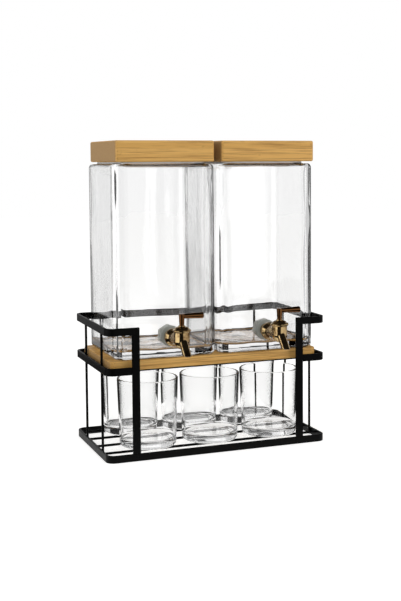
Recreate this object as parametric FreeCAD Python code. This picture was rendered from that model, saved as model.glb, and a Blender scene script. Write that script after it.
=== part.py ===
"""Two square glass drink jars with lever taps, on a bamboo board in a flat-bar stand over six tumblers.

Millimetres. +X runs to the right along the front, +Y to the back, +Z up. The origin is the middle of
the stand's footprint on the surface that it stands on. Each piece is written to parts/NODE.step.
"""

import FreeCAD, Part
import math
import os
from FreeCAD import Vector

# ---- stand: three rings of flat bar on edge, two flat posts in front, round wires elsewhere ----
bar_height = 9.5
bar_thickness = 3.0
ring_corner_radius = 11.0
shelf_height = 109.9  # underside of the ring that carries the board
guard_height = 159.8  # underside of the rail round the jars
post_width = 10.0
post_setback = 38.0  # from the end of the stand to the middle of a post
wire_diameter = 3.3
wire_end_setback = 1.0  # the uprights stop this far short of the outer edges of the lowest and highest bar
side_wire_setback = 42.0  # from the front or back of the stand to the middle of a side wire
back_wire_setback = 38.0  # from the end of the stand to the middle of a back wire
grid_wire_count = 4
grid_wire_pitch = 40.0

# ---- board and jars ----
seat_gap = 0.3  # room between a flat underside and the round wires that carry it
board_end_clearance = 4.5  # from the board to the bars at its ends
board_side_clearance = 9.0  # from the board to the bars in front of it and behind it
board_thickness = 12.0
board_corner_radius = 10.0
board_edge_radius = 1.2
jar_size = 137.2  # outside, both ways
jar_height = 246.9  # heel to shoulder
jar_gap = 1.5  # between the two jars
jar_end_clearance = 9.05  # from a jar to the rail's end, with the pair in the middle
jar_pair_offset = 3.25  # the pair stands this far to the right of the board's middle
jar_corner_radius = 16.0
jar_wall = 5.0
jar_floor = 10.0
jar_heel_radius = 6.0
jar_shoulder_radius = 5.5
jar_inner_heel_radius = 4.2
jar_inner_shoulder_radius = 4.4
mouth_size = 100.0
mouth_corner_radius = 12.0
rim_width = 11.0  # the flat rim round the mouth
rim_height = 1.0

# ---- lids ----
lid_setback = 3.1  # half of what the lid is narrower than the jar
left_lid_shift = 1.3  # each lid lies this far to the right of its jar's middle, within the plug's play
right_lid_shift = 3.1
lid_thickness = 27.1
lid_corner_radius = 4.0
lid_edge_radius = 2.2
plug_clearance = 3.5  # lid plug to mouth, all round, when the lid lies in the middle
plug_depth = 4.5
plug_edge_radius = 1.5
seal_thickness = 1.6
seal_setback = 0.5  # the seal's outer edge lies this far inside the rim's

# ---- taps: a shank through the glass, and an upright barrel that holds the turning plug ----
tap_height = 28.5  # shank axis above the jar's underside
tap_inset = 3.6  # each tap stands this far from its jar's middle, towards the other jar
shank_diameter = 16.0
shank_hole_clearance = 0.5  # radial, in the glass
thread_clearance = 0.05  # radial, between screwed pieces
bore_diameter = 8.0
outer_washer_diameter = 27.0
outer_washer_thickness = 3.0
inner_washer_diameter = 25.0
inner_washer_thickness = 2.5
nut_across_flats = 24.0
nut_thickness = 9.0
nut_chamfer = 1.2
left_nut_turn = 0.0  # degrees from a corner pointing up
right_nut_turn = 15.0
shank_end = 2.5  # the thread shows this far past the nut
escutcheon_hub_diameter = 18.0
escutcheon_hub_length = 9.0
escutcheon_rim_diameter = 23.4
escutcheon_rim_width = 3.4
escutcheon_cone_length = 4.2
neck_diameter = 17.0
tap_reach = 46.5  # glass to barrel axis
barrel_radius = 10.4
barrel_mouth_radius = 9.7
barrel_ball_height = 0.2  # centre of the round bottom above the shank axis
barrel_top = 11.5  # above the shank axis
barrel_belly = 0.1  # how far the barrel's side curves out
chamber_radius = 6.0
chamber_bottom = 6.2  # below the shank axis
running_clearance = 0.05  # radial, plug and stem
end_play = 0.3
bonnet_flange_diameter = 23.2
bonnet_flange_thickness = 3.5
bonnet_shoulder_diameter = 19.0
bonnet_dome_height = 3.3
bonnet_dome_bulge = 0.65  # how far the dome curves out from a cone
bonnet_nose_diameter = 8.8
bonnet_nose_height = 1.2
bonnet_spigot = 2.0
thrust_washer_thickness = 1.0
port_diameter = 7.0
stem_root_diameter = 6.2
stem_head_diameter = 7.6
stem_top = 34.0  # above the shank axis
stem_dome = 0.7  # height of the stem's rounded top
stem_dome_bulge = 0.2
stem_flat_diameter = 3.8  # the level middle of the stem's top
drive_diameter = 5.0
drive_depth = 2.6
lever_height = 31.0  # above the shank axis
lever_reach = 28.2  # stem axis to the lever's end
lever_root_diameter = 6.0
lever_end_diameter = 7.9
lever_end_radius = 0.8
lever_pin_diameter = 3.6
lever_pin_end = 8.0  # stem axis to the pin's end, inside the rod
seal_section = 1.6  # thickness of an O-ring
seal_groove_slack = 0.1
plug_seal_height = 6.0
stem_seal_height = 13.6
spout_diameter = 11.0
spout_tilt = 43.0  # degrees from straight down, forwards
spout_axis_height = 5.5  # where the spout's axis meets the barrel's, above the shank axis
spout_end = 15.2  # the level cut end, below the shank axis
joint_gap = 0.03  # soldered and pinned pieces

# ---- tumblers: two rows of three ----
tumbler_rim_diameter = 79.0
tumbler_base_diameter = 73.0
tumbler_height = 88.0
tumbler_wall = 2.6
tumbler_floor = 9.5
tumbler_heel_radius = 3.0
tumbler_inner_radius = 4.0
tumbler_punt_diameter = 54.0
tumbler_punt_depth = 0.8
tumbler_gap = 6.0  # between neighbours in a row
tumbler_row_gap = 1.0  # between the two rows
tumbler_side_clearance = 0.5  # from a row to the bar beside it

# ---- drawing aids ----
X, Y, Z = Vector(1, 0, 0), Vector(0, 1, 0), Vector(0, 0, 1)
cut_overrun = 1.0  # how far a cutting shape runs past what it cuts
smallest_radius = 0.5
least_straight = 0.1  # left between two round corners
same_place = 1e-4
arc_inset = 1 - math.sqrt(0.5)  # from a square corner to the middle of its quarter round, in radii

# ---- places that follow from the sizes ----
jar_pitch = jar_size + jar_gap
tumbler_pitch = tumbler_rim_diameter + tumbler_gap
tumbler_row_spacing = tumbler_rim_diameter + tumbler_row_gap
inner_half_width = (jar_pitch + jar_size) / 2 + jar_end_clearance
inner_half_depth = (tumbler_row_spacing + tumbler_rim_diameter) / 2 + tumbler_side_clearance
stand_width = 2 * (inner_half_width + bar_thickness)
stand_depth = 2 * (inner_half_depth + bar_thickness)
post_spacing = stand_width - 2 * post_setback
side_wire_spacing = stand_depth - 2 * side_wire_setback
back_wire_spacing = stand_width - 2 * back_wire_setback
wire_radius = wire_diameter / 2
board_width = 2 * (inner_half_width - board_end_clearance)
board_depth = 2 * (inner_half_depth - board_side_clearance)
board_bottom = shelf_height + wire_diameter + seat_gap
jar_bottom = board_bottom + board_thickness
jar_front = -jar_size / 2
rim_size = mouth_size + 2 * rim_width
lid_size = jar_size - 2 * lid_setback
rim_top = jar_bottom + jar_height + rim_height
lid_bottom = rim_top + seal_thickness
tap_z = jar_bottom + tap_height
tumbler_bottom = bar_height + seat_gap
plug_radius = chamber_radius - running_clearance
stem_radius = stem_root_diameter / 2
bonnet_bore_radius = stem_radius + running_clearance
bonnet_underside = barrel_top - bonnet_spigot
plug_top = bonnet_underside - end_play - thrust_washer_thickness
bonnet_dome_top = barrel_top + bonnet_flange_thickness + bonnet_dome_height
stem_seal_radius = stem_radius + joint_gap + seal_section / 2
plug_seal_radius = plug_radius - seal_section / 2
nut_start = jar_wall + inner_washer_thickness  # behind the outer glass face
bell_start = outer_washer_thickness + escutcheon_hub_length
bell_end = bell_start + escutcheon_rim_width + escutcheon_cone_length


# ---- shapes ----
def rounded_outline(width, depth, radius, z):
    """A closed rectangle with round corners, centred on the Z axis."""
    half_x, half_y = width / 2, depth / 2
    radius = min(radius, half_x - least_straight, half_y - least_straight)
    arcs = []
    for quarter in range(4):
        start = math.radians(90 * quarter)
        sign_x = 1 if quarter in (0, 3) else -1
        sign_y = 1 if quarter in (0, 1) else -1
        centre = Vector(sign_x * (half_x - radius), sign_y * (half_y - radius), z)
        arcs.append([centre + Vector(math.cos(start + turn), math.sin(start + turn), 0) * radius
                     for turn in (0, math.pi / 4, math.pi / 2)])
    pieces = []
    for index, (first, middle, last) in enumerate(arcs):
        pieces.append(Part.Arc(first, middle, last).toShape())
        pieces.append(Part.makeLine(last, arcs[(index + 1) % 4][0]))
    return Part.Wire(pieces)


def slab(width, depth, radius, bottom, height):
    """A block with round upright corners, centred on the Z axis."""
    return Part.Face(rounded_outline(width, depth, radius, bottom)).extrude(Z * height)


def edges_at(shape, z):
    """The edges that lie wholly at one height."""
    def lies_there(edge):
        box = edge.BoundBox
        return abs(box.ZMin - z) < same_place and abs(box.ZMax - z) < same_place
    return [edge for edge in shape.Edges if lies_there(edge)]


def cylinder(radius, start, end):
    """A round bar from one point to another."""
    return Part.makeCylinder(radius, (end - start).Length, start, end - start)


def turned(outline, origin, axis, side):
    """A solid of revolution. The outline's points are (along the axis, radius); a point with two more
    numbers is the end of an arc through the point that those two give."""
    def place(along, radius):
        return origin + axis * along + side * radius
    edges = []
    here = place(*outline[-1][:2])
    for point in outline:
        there = place(*point[:2])
        if len(point) == 4:
            edges.append(Part.Arc(here, place(*point[2:]), there).toShape())
        elif (there - here).Length > same_place:
            edges.append(Part.makeLine(here, there))
        here = there
    return Part.Face(Part.Wire(edges)).revolve(origin, axis, 360)


def arc_middle(start, end, bulge):
    """The middle of an arc between two outline points, the bulge away from their straight line."""
    run, rise = end[0] - start[0], end[1] - start[1]
    length = math.hypot(run, rise)
    return (start[0] + end[0]) / 2 - bulge * rise / length, (start[1] + end[1]) / 2 + bulge * run / length


def ring_seal(radius, z):
    """An O-ring round the barrel axis."""
    return Part.makeTorus(radius, seal_section / 2, Vector(0, -tap_reach, z), Z)


# ---- stand ----
def bar_ring(bottom):
    """A closed ring of flat bar on edge."""
    inner_radius = max(ring_corner_radius - bar_thickness, smallest_radius)
    outside = slab(stand_width, stand_depth, ring_corner_radius, bottom, bar_height)
    inside = slab(2 * inner_half_width, 2 * inner_half_depth, inner_radius, bottom, bar_height)
    return outside.cut(inside)


def open_front(ring, bottom, half_opening):
    """The ring with its front bar cut away between the two stubs."""
    gap = Part.makeBox(2 * half_opening, 2 * bar_thickness, bar_height,
                       Vector(-half_opening, -stand_depth / 2 - bar_thickness / 2, bottom))
    return ring.cut(gap)


def base_ring():
    return bar_ring(0)


def shelf_ring():
    return open_front(bar_ring(shelf_height), shelf_height, (post_spacing + post_width) / 2)


def guard_rail():
    return open_front(bar_ring(guard_height), guard_height, (post_spacing - post_width) / 2)


def front_post(side):
    """A flat upright from the lowest ring to the end of the rail above it."""
    corner = Vector(side * post_spacing / 2 - post_width / 2, -stand_depth / 2, bar_height)
    return Part.makeBox(post_width, bar_thickness, guard_height - bar_height, corner)


def upright_wire(x, y):
    top = guard_height + bar_height - wire_end_setback
    return cylinder(wire_radius, Vector(x, y, wire_end_setback), Vector(x, y, top))


def side_wires(side):
    x = side * (inner_half_width - wire_radius)
    return Part.makeCompound([upright_wire(x, row * side_wire_spacing / 2) for row in (-1, 1)])


def back_wires():
    y = inner_half_depth - wire_radius
    return Part.makeCompound([upright_wire(side * back_wire_spacing / 2, y) for side in (-1, 1)])


def grid_wires(z):
    """Wires along the length, welded between the end bars."""
    first = -(grid_wire_count - 1) * grid_wire_pitch / 2
    rows = [first + index * grid_wire_pitch for index in range(grid_wire_count)]
    return Part.makeCompound([
        cylinder(wire_radius, Vector(-inner_half_width, y, z), Vector(inner_half_width, y, z)) for y in rows
    ])


def base_wires():
    return grid_wires(bar_height - wire_radius)


def shelf_wires():
    return grid_wires(shelf_height + wire_radius)


# ---- board, jars and lids ----
def shelf_board():
    board = slab(board_width, board_depth, board_corner_radius, board_bottom, board_thickness)
    rounding = min(board_edge_radius, board_thickness / 3)
    return board.makeFillet(rounding, edges_at(board, board_bottom) + edges_at(board, jar_bottom))


def jar_x(side):
    return jar_pair_offset + side * jar_pitch / 2


def jar(side):
    """A square glass jar with a thick foot, a low square rim and a round hole for the tap."""
    shoulder = jar_bottom + jar_height
    body = slab(jar_size, jar_size, jar_corner_radius, jar_bottom, jar_height)
    body = body.makeFillet(jar_shoulder_radius, edges_at(body, shoulder))
    body = body.makeFillet(jar_heel_radius, edges_at(body, jar_bottom))
    rim_corner_radius = mouth_corner_radius + rim_width
    rim = slab(rim_size, rim_size, rim_corner_radius, shoulder - jar_wall / 2, rim_height + jar_wall / 2)
    rim = rim.makeFillet(rim_height / 2, edges_at(rim, rim_top))
    inside_size = jar_size - 2 * jar_wall
    inside_height = jar_height - jar_floor - jar_wall
    inside_bottom = jar_bottom + jar_floor
    hollow = slab(inside_size, inside_size, jar_corner_radius - jar_wall, inside_bottom, inside_height)
    hollow = hollow.makeFillet(jar_inner_shoulder_radius, edges_at(hollow, shoulder - jar_wall))
    hollow = hollow.makeFillet(jar_inner_heel_radius, edges_at(hollow, inside_bottom))
    mouth_start = shoulder - 2 * jar_wall
    mouth_length = rim_top + cut_overrun - mouth_start
    mouth = slab(mouth_size, mouth_size, mouth_corner_radius, mouth_start, mouth_length)
    glass = body.fuse(rim).cut(hollow.fuse(mouth))
    glass.translate(X * jar_x(side))
    start = Vector(tap_x(side), jar_front - cut_overrun, tap_z)
    end = start + Y * (jar_wall + 2 * cut_overrun)
    hole = cylinder(shank_diameter / 2 + shank_hole_clearance, start, end)
    return glass.cut(hole).removeSplitter()


def lid_x(side):
    return jar_x(side) + (left_lid_shift if side < 0 else right_lid_shift)


def lid(side):
    block = slab(lid_size, lid_size, lid_corner_radius, lid_bottom, lid_thickness)
    rims = edges_at(block, lid_bottom) + edges_at(block, lid_bottom + lid_thickness)
    block = block.makeFillet(lid_edge_radius, rims)
    block.translate(X * lid_x(side))
    return block


def lid_plug(side):
    """The block under the lid that drops into the mouth."""
    size = mouth_size - 2 * plug_clearance
    block = slab(size, size, mouth_corner_radius - plug_clearance, lid_bottom - plug_depth, plug_depth)
    block = block.makeFillet(plug_edge_radius, edges_at(block, lid_bottom - plug_depth))
    block.translate(X * lid_x(side))
    return block


def lid_seal(side):
    """A flat square gasket on the jar's rim, under the lid."""
    outer_size = rim_size - 2 * seal_setback
    outer_radius = mouth_corner_radius + rim_width - seal_setback
    seal = slab(outer_size, outer_size, outer_radius, rim_top, seal_thickness)
    seal = seal.cut(slab(mouth_size, mouth_size, mouth_corner_radius, rim_top, seal_thickness))
    seal.translate(X * jar_x(side))
    return seal


# ---- taps, each drawn with the shank axis through the origin and the outer glass face at y = 0 ----
def tap_x(side):
    return jar_x(side) - side * tap_inset


def barrel_envelope(extra):
    """The barrel's outside with its round bottom, grown by a small amount."""
    low, radius = widest = (barrel_ball_height, barrel_radius + extra)
    mouth = (barrel_top, barrel_mouth_radius + extra)
    quarter = radius * math.sqrt(0.5)
    outline = [
        (low - radius, 0),
        (*widest, low - quarter, quarter),
        (*mouth, *arc_middle(widest, mouth, barrel_belly)),
        (barrel_top, 0),
    ]
    return turned(outline, Vector(0, -tap_reach, 0), Z, X)


def spout_path():
    """The point where the spout's axis leaves the barrel's, and the way it runs."""
    tilt = math.radians(spout_tilt)
    return Vector(0, -tap_reach, spout_axis_height), Vector(0, -math.sin(tilt), -math.cos(tilt))


def tap_body():
    """Shank, neck and barrel, cast as one, with the waterway and the plug's chamber."""
    shank_radius = shank_diameter / 2
    tail = Vector(0, nut_start + nut_thickness + shank_end, 0)
    barrel_centre = Vector(0, -tap_reach, 0)
    shank = cylinder(shank_radius, tail, Vector(0, -bell_end, 0))
    neck = cylinder(neck_diameter / 2, Vector(0, -bell_end, 0), barrel_centre)
    waterway = cylinder(bore_diameter / 2, tail, barrel_centre)
    start, way = spout_path()
    outlet = cylinder(bore_diameter / 2, start + way * (chamber_radius / 2), start + way * 2 * barrel_radius)
    chamber = cylinder(chamber_radius, barrel_centre - Z * chamber_bottom, barrel_centre + Z * barrel_top)
    return barrel_envelope(0).fuse([shank, neck]).cut([waterway, outlet, chamber]).removeSplitter()


def tap_spout():
    """A straight tube on the barrel's lower front, with a level cut end."""
    start, way = spout_path()
    length = (spout_axis_height + spout_end + spout_diameter) / math.cos(math.radians(spout_tilt))
    end = start + way * length
    tube = cylinder(spout_diameter / 2, start, end).cut(cylinder(bore_diameter / 2, start, end))
    above_cut = Part.makeBox(2 * length, 2 * length, 2 * length)
    above_cut.translate(Vector(-length, -tap_reach - length, -spout_end))
    tube = tube.common(above_cut).cut(barrel_envelope(joint_gap))
    return max(tube.Solids, key=lambda solid: solid.Volume)


def tap_escutcheon():
    """The collar on the shank, with a wide rim and a short cone down to the neck."""
    bore = shank_diameter / 2 + thread_clearance
    hub = escutcheon_hub_diameter / 2
    rim = escutcheon_rim_diameter / 2
    back, rim_end = bell_start, bell_start + escutcheon_rim_width
    rounding = escutcheon_rim_width / 3
    slope = rounding * arc_inset
    outline = [
        (outer_washer_thickness, bore),
        (outer_washer_thickness, hub),
        (back, hub),
        (back, rim - rounding),
        (back + rounding, rim, back + slope, rim - slope),
        (rim_end, rim),
        (bell_end, neck_diameter / 2),
        (bell_end, bore),
    ]
    return turned(outline, Vector(0, 0, 0), -Y, Z)


def washer(diameter, start, thickness):
    """A flat ring on the shank; start and thickness are measured inwards from the outer glass face."""
    outside = cylinder(diameter / 2, Y * start, Y * (start + thickness))
    hole = cylinder(shank_diameter / 2 + thread_clearance, Y * start, Y * (start + thickness))
    return outside.cut(hole)


def tap_outer_washer():
    return washer(outer_washer_diameter, -outer_washer_thickness, outer_washer_thickness)


def tap_inner_washer():
    return washer(inner_washer_diameter, jar_wall, inner_washer_thickness)


def tap_lock_nut(turn):
    """A hexagon nut with its inner corners turned off at 30 degrees."""
    corner_radius = nut_across_flats / math.sqrt(3)
    start = Y * nut_start
    angles = [math.radians(turn + 60 * corner) for corner in range(7)]
    outline = [start + Vector(math.sin(a), 0, math.cos(a)) * corner_radius for a in angles]
    nut = Part.Face(Part.makePolygon(outline)).extrude(Y * nut_thickness)
    turned_off = turned([
        (0, 0),
        (0, corner_radius + cut_overrun),
        (nut_thickness - nut_chamfer - cut_overrun / math.sqrt(3), corner_radius + cut_overrun),
        (nut_thickness, corner_radius - nut_chamfer * math.sqrt(3)),
        (nut_thickness, 0),
    ], start, Y, Z)
    hole = cylinder(shank_diameter / 2 + thread_clearance, start, start + Y * nut_thickness)
    return nut.common(turned_off).cut(hole)


def tap_bonnet():
    """The cap screwed on the barrel: a wide round flange, a low dome and a nose that guides the stem."""
    flange_top = barrel_top + bonnet_flange_thickness
    flange = bonnet_flange_diameter / 2
    rounding = bonnet_flange_thickness / 2
    shoulder = (flange_top, bonnet_shoulder_diameter / 2)
    nose = (bonnet_dome_top, bonnet_nose_diameter / 2)
    gland_radius = stem_seal_radius + seal_section / 2 + seal_groove_slack
    gland_half = seal_section / 2 + seal_groove_slack
    spigot = chamber_radius - thread_clearance
    outline = [
        (bonnet_underside, bonnet_bore_radius),
        (bonnet_underside, spigot),
        (barrel_top, spigot),
        (barrel_top, flange - rounding),
        (flange_top, flange - rounding, barrel_top + rounding, flange),
        shoulder,
        (*nose, *arc_middle(shoulder, nose, bonnet_dome_bulge)),
        (bonnet_dome_top + bonnet_nose_height, bonnet_nose_diameter / 2),
        (bonnet_dome_top + bonnet_nose_height, bonnet_bore_radius),
        (stem_seal_height + gland_half, bonnet_bore_radius),
        (stem_seal_height + gland_half, gland_radius),
        (stem_seal_height - gland_half, gland_radius),
        (stem_seal_height - gland_half, bonnet_bore_radius),
    ]
    return turned(outline, Vector(0, -tap_reach, 0), Z, X)


def tap_plug():
    """The turning plug with its cross port, which lies across the waterway when the tap is shut."""
    groove_half = seal_section / 2 + seal_groove_slack
    groove_radius = plug_radius - seal_section - seal_groove_slack
    drive = drive_diameter / 2 + joint_gap
    bottom = end_play - chamber_bottom
    middle = Vector(0, -tap_reach, 0)
    plug = turned([
        (bottom, 0),
        (bottom, plug_radius),
        (plug_seal_height - groove_half, plug_radius),
        (plug_seal_height - groove_half, groove_radius),
        (plug_seal_height + groove_half, groove_radius),
        (plug_seal_height + groove_half, plug_radius),
        (plug_top, plug_radius),
        (plug_top, drive),
        (plug_top - drive_depth, drive),
        (plug_top - drive_depth, 0),
    ], middle, Z, X)
    half_port = X * (plug_radius + cut_overrun)
    return plug.cut(cylinder(port_diameter / 2, middle - half_port, middle + half_port))


def tap_thrust_washer():
    """The slip washer between the plug and the bonnet."""
    base = Vector(0, -tap_reach, plug_top)
    top = base + Z * thrust_washer_thickness
    return cylinder(plug_radius - joint_gap, base, top).cut(cylinder(stem_radius + joint_gap, base, top))


def stem_envelope(extra):
    """The stem's outside, which widens above the bonnet, grown by a small amount."""
    root = stem_radius + extra
    head = (stem_top - stem_dome, stem_head_diameter / 2 + extra)
    crown = (stem_top, stem_flat_diameter / 2 + extra)
    taper_start = bonnet_dome_top + bonnet_nose_height
    drive = drive_diameter / 2
    return turned([
        (plug_top - drive_depth, 0),
        (plug_top - drive_depth, drive),
        (plug_top, drive),
        (plug_top, root),
        (taper_start, root),
        head,
        (*crown, *arc_middle(head, crown, stem_dome_bulge)),
        (stem_top, 0),
    ], Vector(0, -tap_reach, 0), Z, X)


def tap_stem():
    """The upright stem, with the hole for the lever's pin in its side."""
    hub = Vector(0, -tap_reach, lever_height)
    pin_hole = cylinder(lever_pin_diameter / 2 + joint_gap, hub - X * joint_gap, hub + X * stem_head_diameter)
    return stem_envelope(0).cut(pin_hole)


def tap_lever():
    """A rod that widens towards its end, pinned into the side of the stem's head."""
    start = Vector(0, -tap_reach, lever_height)
    end = lever_end_diameter / 2
    inset = lever_end_radius * arc_inset
    rod = turned([
        (0, 0),
        (0, lever_root_diameter / 2),
        (lever_reach - lever_end_radius, end),
        (lever_reach, end - lever_end_radius, lever_reach - inset, end - inset),
        (lever_reach, 0),
    ], start, X, Z)
    rod = rod.cut(stem_envelope(joint_gap))
    rod = max(rod.Solids, key=lambda solid: solid.Volume)
    pin = cylinder(lever_pin_diameter / 2, start, start + X * lever_pin_end)
    return rod.fuse(pin).removeSplitter()


def tap_seals():
    """The O-rings round the plug and round the stem."""
    return Part.makeCompound([
        ring_seal(plug_seal_radius, plug_seal_height),
        ring_seal(stem_seal_radius, stem_seal_height),
    ])


# ---- tumblers ----
def tumbler(column, row):
    """A straight-sided tumbler with a thick foot and a shallow hollow under it."""
    rim = tumbler_rim_diameter / 2
    base = tumbler_base_diameter / 2
    lip = tumbler_wall / 2
    lean = (rim - base) / tumbler_height
    heel = tumbler_heel_radius
    curve = tumbler_inner_radius
    heel_inset, curve_inset = heel * arc_inset, curve * arc_inset
    floor_radius = base + lean * tumbler_floor - tumbler_wall
    punt = tumbler_punt_diameter / 2
    glass = turned([
        (tumbler_punt_depth, 0),
        (tumbler_punt_depth, punt - tumbler_punt_depth),
        (0, punt),
        (0, base - heel),
        (heel, base + lean * heel, heel_inset, base - heel_inset),
        (tumbler_height - lip, rim),
        (tumbler_height - lip, rim - tumbler_wall, tumbler_height, rim - lip),
        (tumbler_floor + curve, floor_radius + lean * curve),
        (tumbler_floor, floor_radius - curve, tumbler_floor + curve_inset, floor_radius - curve_inset),
        (tumbler_floor, 0),
    ], Vector(0, 0, 0), Z, X)
    glass.translate(Vector(column * tumbler_pitch, row * tumbler_row_spacing / 2, tumbler_bottom))
    return glass


# ---- writing ----
def write(name, shape):
    """Saves one node's solids as its STEP file."""
    solids = shape.Solids
    if not solids or not shape.isValid():
        raise ValueError(name + " is not a sound solid")
    whole = solids[0] if len(solids) == 1 else Part.makeCompound(solids)
    whole.exportStep(os.path.join("parts", name + ".step"))
    print(name, len(solids), "solid(s)", round(sum(solid.Volume for solid in solids)), "mm3")


def write_stand():
    write("base_ring", base_ring())
    write("shelf_ring", shelf_ring())
    write("guard_rail", guard_rail())
    write("back_wires", back_wires())
    write("base_wires", base_wires())
    write("shelf_wires", shelf_wires())
    for name, side in SIDES:
        write("front_post_" + name, front_post(side))
        write("side_wires_" + name, side_wires(side))


def write_jar(name, side):
    write("jar_" + name, jar(side))
    write("lid_" + name, lid(side))
    write("lid_plug_" + name, lid_plug(side))
    write("lid_seal_" + name, lid_seal(side))


def write_tap(name, side):
    nut_turn = left_nut_turn if side < 0 else right_nut_turn
    pieces = {
        "body": tap_body(), "spout": tap_spout(), "escutcheon": tap_escutcheon(),
        "outer_washer": tap_outer_washer(), "inner_washer": tap_inner_washer(),
        "lock_nut": tap_lock_nut(nut_turn), "bonnet": tap_bonnet(), "plug": tap_plug(),
        "thrust_washer": tap_thrust_washer(), "stem": tap_stem(), "lever": tap_lever(), "seals": tap_seals(),
    }
    for piece, shape in pieces.items():
        shape.translate(Vector(tap_x(side), jar_front, tap_z))
        write("tap_" + piece + "_" + name, shape)


SIDES = (("left", -1), ("right", 1))
COLUMNS = (("left", -1), ("middle", 0), ("right", 1))
ROWS = (("front", -1), ("rear", 1))

os.makedirs("parts", exist_ok=True)
write_stand()
write("shelf_board", shelf_board())
for name, side in SIDES:
    write_jar(name, side)
    write_tap(name, side)
for row_name, row in ROWS:
    for column_name, column in COLUMNS:
        write("tumbler_" + row_name + "_" + column_name, tumbler(column, row))
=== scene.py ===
"""Looks for a drink dispenser set: two square glass jars with lever taps, on a bamboo board in a black stand
over six tumblers.

Metres. +X runs to the right along the front, +Y to the back, +Z up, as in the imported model.
"""

import math

import bmesh
import bpy
from mathutils import Matrix, Vector, noise


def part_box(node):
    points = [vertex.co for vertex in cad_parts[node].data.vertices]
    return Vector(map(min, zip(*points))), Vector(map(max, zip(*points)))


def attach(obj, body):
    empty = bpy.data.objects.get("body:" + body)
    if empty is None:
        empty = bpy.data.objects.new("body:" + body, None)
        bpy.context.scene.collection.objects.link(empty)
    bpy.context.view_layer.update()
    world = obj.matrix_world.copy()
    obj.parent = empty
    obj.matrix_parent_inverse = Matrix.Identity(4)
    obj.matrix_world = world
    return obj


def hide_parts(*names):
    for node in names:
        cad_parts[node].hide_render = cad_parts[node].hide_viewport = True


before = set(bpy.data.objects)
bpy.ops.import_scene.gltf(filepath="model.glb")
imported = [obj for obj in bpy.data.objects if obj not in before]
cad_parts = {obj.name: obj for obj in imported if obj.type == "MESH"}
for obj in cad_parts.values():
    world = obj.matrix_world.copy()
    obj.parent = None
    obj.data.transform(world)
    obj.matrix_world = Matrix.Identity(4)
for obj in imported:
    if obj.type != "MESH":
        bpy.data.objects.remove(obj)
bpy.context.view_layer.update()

bl_info = {
    "name": "Drink dispenser set",
    "version": (1, 0, 0),
    "blender": (4, 5, 0),
    "location": "3D View > Sidebar > Dispenser",
    "description": "Builds the looks of a drink dispenser set round its packed model",
    "category": "Object",
}

MM = 0.001
X, Y, Z = Vector((1, 0, 0)), Vector((0, 1, 0)), Vector((0, 0, 1))
FULL_TURN = 2 * math.pi
SAME_PLACE = 1e-6
SMOOTH_BELOW = math.radians(38)  # faces that meet at less than this shade as one
ARC_STEP = 0.5 * MM  # rounding that one step of an arc covers in turned pieces
FEWEST_STEPS, MOST_STEPS = 3, 20  # of one such arc
NEARLY = 0.98  # share of a full round, so that an arc ends just short of the next one or of the axis
SIDES = {"left": -1, "right": 1}
COLUMNS = ("left", "middle", "right")
ROWS = ("front", "rear")


def linear(code):
    """An sRGB hex colour as linear red, green and blue."""
    shares = [int(code[place:place + 2], 16) / 255 for place in (1, 3, 5)]
    return [share / 12.92 if share <= 0.04045 else ((share + 0.055) / 1.055) ** 2.4 for share in shares]


# ---- settings ----
def length(name, default, description):
    """A size setting, given in millimetres."""
    return bpy.props.FloatProperty(name=name, description=description, default=default * MM, min=0,
                                   unit="LENGTH", precision=5)


def level(name, default, description):
    """A setting for how strong a light is, or how bright something is."""
    return bpy.props.FloatProperty(name=name, description=description, default=default, min=0)


def colour(name, code, description):
    """A colour setting, given as sRGB hex."""
    return bpy.props.FloatVectorProperty(name=name, description=description, default=linear(code), size=3,
                                         min=0, max=1, subtype="COLOR")


class StandSettings(bpy.types.PropertyGroup):
    """The painted stand."""
    paint: colour("Paint", "#060606", "Powder coat on the bars and wires")
    ring_corner: length("Ring corner radius", 11.0, "Outer corner radius of the three rings")
    bar_thickness: length("Bar thickness", 3.0, "Thickness of the flat bar")
    bar_edge: length("Bar edge radius", 0.5, "Rounding of the flat bar's edges under the paint")
    wire_diameter: length("Wire diameter", 3.3, "Diameter of the round wires")
    weld_size: length("Weld size", 1.5, "Radius of a weld bead where a wire meets a bar")


class BambooSettings(bpy.types.PropertyGroup):
    """The bamboo board and lids."""
    light: colour("Light strip", "#EFBC6A", "The palest strips")
    dark: colour("Dark strip", "#DAA34B", "The darkest strips")
    fibre: colour("Fibre", "#8E5C26", "Fibre streaks and node marks")
    end_light: colour("Light end grain", "#C29C64", "The palest strips seen end on")
    end_dark: colour("Dark end grain", "#A8804C", "The darkest strips seen end on")
    strip: length("Strip thickness", 6.8, "Thickness of one glued strip")
    strip_length: length("Strip length", 420.0, "Length of one glued strip")
    board_corner: length("Board corner radius", 10.0, "Corner radius of the board seen from above")
    board_edge: length("Board edge radius", 1.2, "Rounding of the board's long edges")
    lid_corner: length("Lid corner radius", 4.0, "Corner radius of a lid seen from above")
    lid_edge: length("Lid edge radius", 2.2, "Rounding of a lid's edges")


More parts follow.
